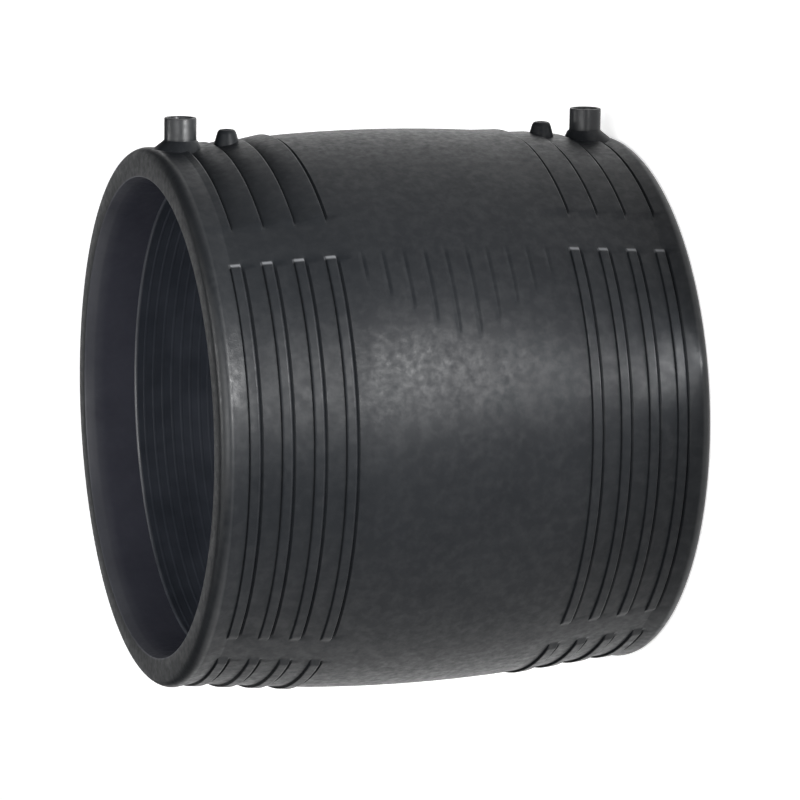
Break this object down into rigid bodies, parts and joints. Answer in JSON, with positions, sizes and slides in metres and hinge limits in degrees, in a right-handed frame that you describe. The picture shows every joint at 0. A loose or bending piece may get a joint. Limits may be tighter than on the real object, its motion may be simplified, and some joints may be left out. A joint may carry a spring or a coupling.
{
  "type": "electrofusion straight coupler",
  "caption": "Open-ended black electrofusion coupler for plastic pipe: ribbed tapered sleeve with terminal shrouds and fusion indicators along one side.",
  "frame": {"origin": "centre of the pipe bore, halfway between the two end faces", "axes": "+Z along the pipe axis, towards the end that the picture shows open; +X out through the terminals and indicators"},
  "size_m": [0.2241, 0.2172, 0.192],
  "materials": {
    "moulding": "satin",
    "winding": "satin",
    "terminal": "bright",
    "indicator": "matt"
  },
  "bodies": {
    "root": {"coupler_body": "moulding", "heating_winding": "winding", "terminal_pin_upper": "terminal", "terminal_pin_lower": "terminal", "indicator_pin_upper": "indicator", "indicator_pin_lower": "indicator"}
  },
  "joints": []
}
